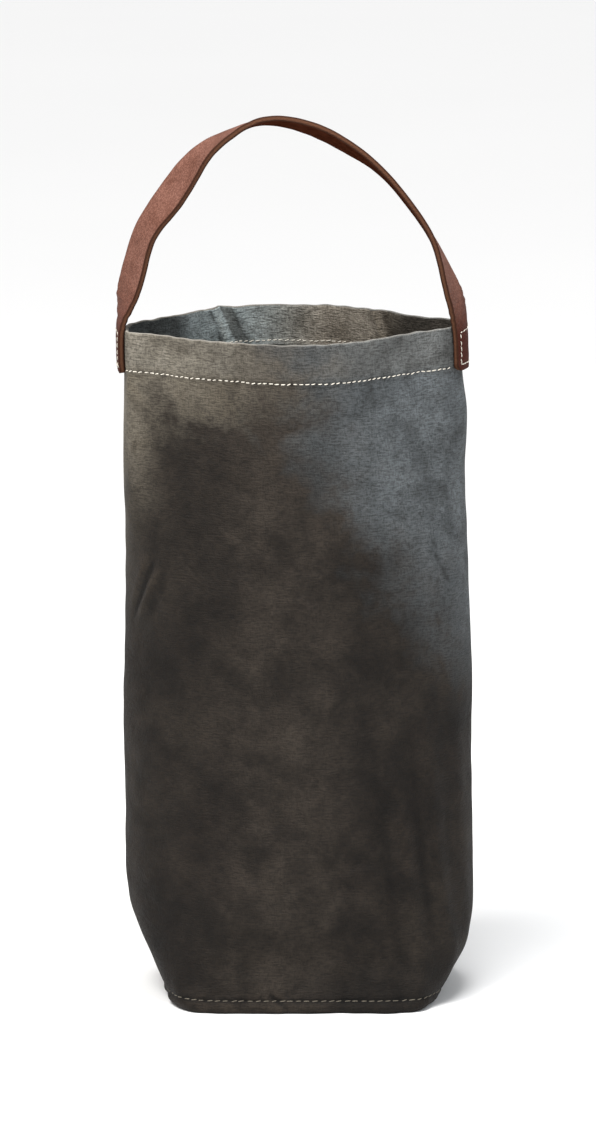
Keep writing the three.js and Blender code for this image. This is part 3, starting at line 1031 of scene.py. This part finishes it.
def mottled_colour(p, base, z, patch, blotch):
    """Soft clouds and smaller dark blotches, calmer on the hem."""
    calm = p.span(z, (HEM_STITCH_Z - 1) * MM, (HEM_STITCH_Z + 1) * MM, 0.70, 0.55)
    mottling = p.times(p.span(patch, 0.32, 0.68), calm)
    mottled = p.mix(mottling, base, colour(78, 74, 70), "SOFT_LIGHT")
    return p.mix(p.span(blotch, 0.35, 0.75, 0.0, 0.5), mottled, colour(136, 130, 124), "MULTIPLY")


def grained_colour(p, base, wrinkle, speckle, painted_cool_light):
    """Dark in the fine wrinkles, with pale flecks, and crisper, with painted shade in the grain,
    where the bluish light is painted.
    """
    grained = p.mix(p.span(wrinkle, 0.57, 0.40, 0.0, 0.55), base, colour(96, 90, 84), "MULTIPLY")
    fleck = p.span(speckle, 0.5, 0.72, 0.0, 0.7)
    flecked = p.mix(fleck, grained, colour(205, 205, 203), "SOFT_LIGHT")
    # painted shade in the grain's low spots under the painted bluish light
    painted_grain_shade = p.times(painted_cool_light, p.span(speckle, 0.42, 0.30, 0.0, 0.5))
    return p.mix(painted_grain_shade, flecked, colour(92, 94, 96), "MULTIPLY")


def crease_shade_and_rim_line(p, base, hollow, along_sheet):
    """Painted shade in creases, painted highlights on ridges, and a paler line along the fold at the
    rim.
    """
    painted_crease_shade = p.mix(p.span(hollow, 0.05, 0.9, 0.0, 0.75), base, colour(105, 98, 92), "MULTIPLY")
    # painted highlight on ridges
    ridge = p.span(hollow, -0.1, -0.9, 0.0, 0.5)
    raised = p.mix(ridge, painted_crease_shade, colour(225, 222, 216), "SOFT_LIGHT")
    from_fold = p.math("ABSOLUTE", p.math("SUBTRACT", along_sheet, RIM * MM))
    return p.mix(p.span(from_fold, 0.0006, 0.0001, 0.0, 0.45), raised, colour(160, 156, 149))


def sheet_paint():
    """Washable paper: mottled brown grey with a fine wrinkled grain, with light and shade painted
    in: paler inside and high on the wall, bluish on the right, shaded in creases and at the folds.
    """
    p = Paint("washable_paper")
    uv, place = p.uv(), p.place()
    x, _, z = p.add("ShaderNodeSeparateXYZ", {0: place}).outputs
    along_sheet = p.add("ShaderNodeSeparateXYZ", {0: uv}).outputs[1]
    cloud = p.noise(place, 16, 3, 0.5, 0.4)
    patch = p.noise(p.mapped(place, (1, 1, 1), (3, 1, 2)), 46, 6, 0.66, 0.3)
    blotch = p.noise(p.mapped(place, (1, 1, 1), (7, 5, 1)), 120, 5, 0.65, 0.2)
    across_grain = p.noise(p.mapped(uv, (330, 1500, 1)), 1.0, 3, 0.6, 0.1)
    along_grain = p.noise(p.mapped(uv, (1400, 420, 1)), 1.0, 3, 0.6, 0.1)
    wrinkle = p.plus(p.times(across_grain, 0.62), p.times(along_grain, 0.38))
    speckle = p.noise(p.mapped(uv, (1300, 1500, 1)), 1.0, 3, 0.6)
    off_middle = p.math("ABSOLUTE", p.plus(x, 0.004))
    fleck_wander = p.times(p.math("SUBTRACT", blotch, 0.5), 0.035)
    wander = p.plus(p.times(p.math("SUBTRACT", patch, 0.5), 0.085), fleck_wander)

    body, painted_cool_light = body_tone_and_painted_light(p, x, z, off_middle, cloud, wander)
    outside = hem_painted_light(p, z, off_middle, body)
    sided = p.mix(p.attribute("inside"), outside, inside_painted_light(p, x))
    mottled = mottled_colour(p, sided, z, patch, blotch)
    grained = grained_colour(p, mottled, wrinkle, speckle, painted_cool_light)
    painted = crease_shade_and_rim_line(p, grained, p.attribute("hollow"), along_sheet)

    relief = p.bump(p.noise(uv, 80, 3, 0.5, 0.5), 0.5, 0.004)
    relief = p.bump(wrinkle, p.span(painted_cool_light, 0.0, 1.0, 0.75, 1.0), 0.0012, relief)
    relief = p.bump(speckle, p.span(painted_cool_light, 0.0, 1.0, 0.45, 1.0), 0.0006, relief)
    rough = p.span(wrinkle, 0.3, 0.7, 0.62, 0.8)
    return p.finish(Base_Color=painted, Roughness=rough, Normal=relief, Specular_IOR_Level=0.16)


def leather_paint():
    """Grained brown leather with painted shade towards the sewn ends and a dark burnished edge with
    a painted highlight along its middle.
    """
    p = Paint("strap_leather")
    uv = p.uv()
    outer = p.attribute("outer_face")
    edge = p.attribute("strap_edge")
    from_end = p.attribute("from_end")
    pebble = p.add(
        "ShaderNodeTexVoronoi", {"Vector": uv, "Scale": 1300, "Smoothness": 0.6}, feature="SMOOTH_F1"
    ).outputs["Distance"]
    cloud = p.noise(uv, 70, 4, 0.6, 0.3)
    fuzz = p.noise(p.mapped(uv, (1500, 900, 1)), 1.0, 4, 0.7)

    face = p.mix(p.span(cloud, 0.3, 0.7), colour(104, 69, 57), colour(125, 88, 76))
    pores = p.mix(p.span(pebble, 0.3, 0.62, 0.0, 0.4), face, colour(120, 84, 70), "MULTIPLY")
    # painted shade: darker towards each sewn end
    sewn = p.span(from_end, 0.036, 0.012, 0.0, 0.9)
    painted_end_shade = p.mix(sewn, pores, colour(56, 19, 11))
    # painted highlight: paler along the middle of the cut edge
    edge_highlight_mask = p.span(p.math("ABSOLUTE", outer), 0.75, 0.1)
    burnished_edge_and_highlight = p.mix(edge_highlight_mask, colour(52, 31, 22), colour(84, 56, 41))
    painted = p.mix(edge, painted_end_shade, burnished_edge_and_highlight)

    grain = p.bump(pebble, 0.55, 0.0006)
    grain = p.bump(fuzz, 0.35, 0.0004, grain)
    rough = p.span(cloud, 0.3, 0.7, 0.58, 0.72)
    return p.finish(Base_Color=painted, Roughness=rough, Normal=grain, Specular_IOR_Level=0.05)


def underside_paint():
    """The strap's rough flesh side."""
    p = Paint("strap_underside")
    uv = p.uv()
    fuzz = p.noise(p.mapped(uv, (900, 1600, 1)), 1.0, 4, 0.7)
    nap = p.noise(uv, 220, 4, 0.6)
    shade = p.mix(p.span(fuzz, 0.3, 0.7), colour(44, 19, 11), colour(62, 31, 19))
    painted = p.mix(p.span(nap, 0.35, 0.7, 0.0, 0.4), shade, colour(84, 46, 32))
    relief = p.bump(fuzz, 0.5, 0.0005)
    rough = p.span(nap, 0.3, 0.7, 0.85, 0.95)
    return p.finish(Base_Color=painted, Roughness=rough, Normal=relief, Specular_IOR_Level=0.0)


def thread_paint(name, pale, dim):
    """Waxed thread, twisted from plies."""
    p = Paint(name)
    place = p.place()
    twist = p.add(
        "ShaderNodeTexWave",
        {"Vector": place, "Scale": 900, "Distortion": 1.5, "Detail": 2},
        bands_direction="DIAGONAL",
    ).outputs["Fac"]
    fibre = p.noise(place, 2500, 3, 0.6)
    shade = p.mix(p.span(fibre, 0.3, 0.7), dim, pale)
    shade = p.mix(p.span(twist, 0.0, 0.5, 0.35, 0.0), shade, colour(120, 108, 90), "MULTIPLY")
    relief = p.bump(twist, 0.5, 0.0002)
    relief = p.bump(fibre, 0.3, 0.0001, relief)
    return p.finish(Base_Color=shade, Roughness=p.span(fibre, 0.3, 0.7, 0.6, 0.8), Normal=relief)


def floor_paint():
    p = Paint("studio_floor")
    place = p.place()
    tone = p.mix(p.noise(place, 3, 2, 0.5), (0.86, 0.86, 0.86, 1), (0.88, 0.88, 0.88, 1))
    return p.finish(Base_Color=tone, Roughness=0.7)


# ---- stage
# Lengths here are in metres.
CAMERA_DISTANCE = 2.6
CAMERA_PITCH = math.radians(11.7)
FRAME_HEIGHT = 0.4728
TARGET = Vector((0.0016, 0.0, 0.1787))
FLOOR_HALF_WIDTH = 20.0
WORLD_STRENGTH = 0.6
SUN_PLACE, SUN_STRENGTH, SUN_SPREAD = (-0.45, -0.55, 1.3), 1.7, math.radians(25)

# Name, place, the point that it shines at, width, height, power and tint.
AREA_LIGHTS = [
    ("key", (-0.5, -0.5, 1.2), (0, 0, 0.28), 0.5, 0.5, 9, (1.0, 0.97, 0.92)),
    ("cool_side", (0.9, -0.7, 0.9), (0, 0, 0.24), 0.5, 0.6, 3, (0.84, 0.92, 1.0)),
    ("top", (0.1, -0.35, 1.2), (0, 0.02, 0.27), 0.3, 0.3, 8, (1.0, 1.0, 1.0)),
]


def add_aimed(data, place, direction):
    """A camera or a light at that place which looks in that direction."""
    obj = bpy.data.objects.new(data.name, data)
    obj.location = place
    obj.rotation_mode = "QUATERNION"
    obj.rotation_quaternion = direction.to_track_quat("-Z", "Y")
    bpy.context.scene.collection.objects.link(obj)
    return obj


def make_camera():
    data = bpy.data.cameras.new("camera")
    data.sensor_width = 36.0
    data.lens = data.sensor_width * CAMERA_DISTANCE / FRAME_HEIGHT
    data.clip_start, data.clip_end = 0.05, 100.0
    back = Vector((0, -math.cos(CAMERA_PITCH), math.sin(CAMERA_PITCH)))
    bpy.context.scene.camera = add_aimed(data, TARGET + back * CAMERA_DISTANCE, -back)


def add_light(kind, name, place, towards, power, **settings):
    data = bpy.data.lights.new(name, kind)
    data.energy = power
    for key, value in settings.items():
        setattr(data, key, value)
    add_aimed(data, place, Vector(towards) - Vector(place))


def make_floor():
    size = FLOOR_HALF_WIDTH
    corners = [(x * size, y * size, 0) for x, y in ((-1, -1), (1, -1), (1, 1), (-1, 1))]
    floor = make_object("floor", np.array(corners) / MM, [(0, 1, 2, 3)])
    floor.data.materials.append(floor_paint())


def make_stage():
    scene = bpy.context.scene
    scene.view_settings.view_transform = "Standard"
    world = bpy.data.worlds.new("studio")
    world.use_nodes = True
    background = world.node_tree.nodes["Background"]
    background.inputs["Color"].default_value = (1.0, 1.0, 1.0, 1)
    background.inputs["Strength"].default_value = WORLD_STRENGTH
    scene.world = world
    make_floor()
    add_light("SUN", "sun", SUN_PLACE, (0, 0, 0), SUN_STRENGTH, angle=SUN_SPREAD)
    for name, place, towards, width, height, power, tint in AREA_LIGHTS:
        size = {"shape": "RECTANGLE", "size": width, "size_y": height}
        add_light("AREA", name, place, towards, power, color=tint, **size)


# ---- the object
make_camera()
wall = Wall()
paper = sheet_paint()
wall_panel(wall, "front_sheet", HALF_GIRTH, "front_panel", paper)
wall_panel(wall, "back_sheet", 0.0, "back_panel", paper)
base_panel(wall, paper)

strap = Strap(wall)
strap_mesh(strap, leather_paint(), underside_paint())

cream = thread_paint("cream_thread", colour(240, 235, 224), colour(208, 200, 184))
dull = thread_paint("dull_thread", colour(122, 114, 100), colour(84, 78, 68))
# the hem's stitches stop short of the strap's two ends
clear = STRAP_WIDTH / 2 + 0.6
front = (LEFT_END_S + clear, GIRTH + RIGHT_END_S - clear)
back = (RIGHT_END_S + clear, LEFT_END_S - clear)
hem_stitches(wall, "hem_stitching_front", *front, cream, seed=41)
hem_stitches(wall, "hem_stitching_back", *back, cream, seed=42)
base_stitches(wall, dull)
side_seam_stitches(wall, "side_seam_stitching_left", HALF_GIRTH, dull, seed=44)
side_seam_stitches(wall, "side_seam_stitching_right", 0.0, dull, seed=45)
box_stitches(strap, "strap_stitching_left", True, cream, seed=46)
box_stitches(strap, "strap_stitching_right", False, cream, seed=47)
make_stage()
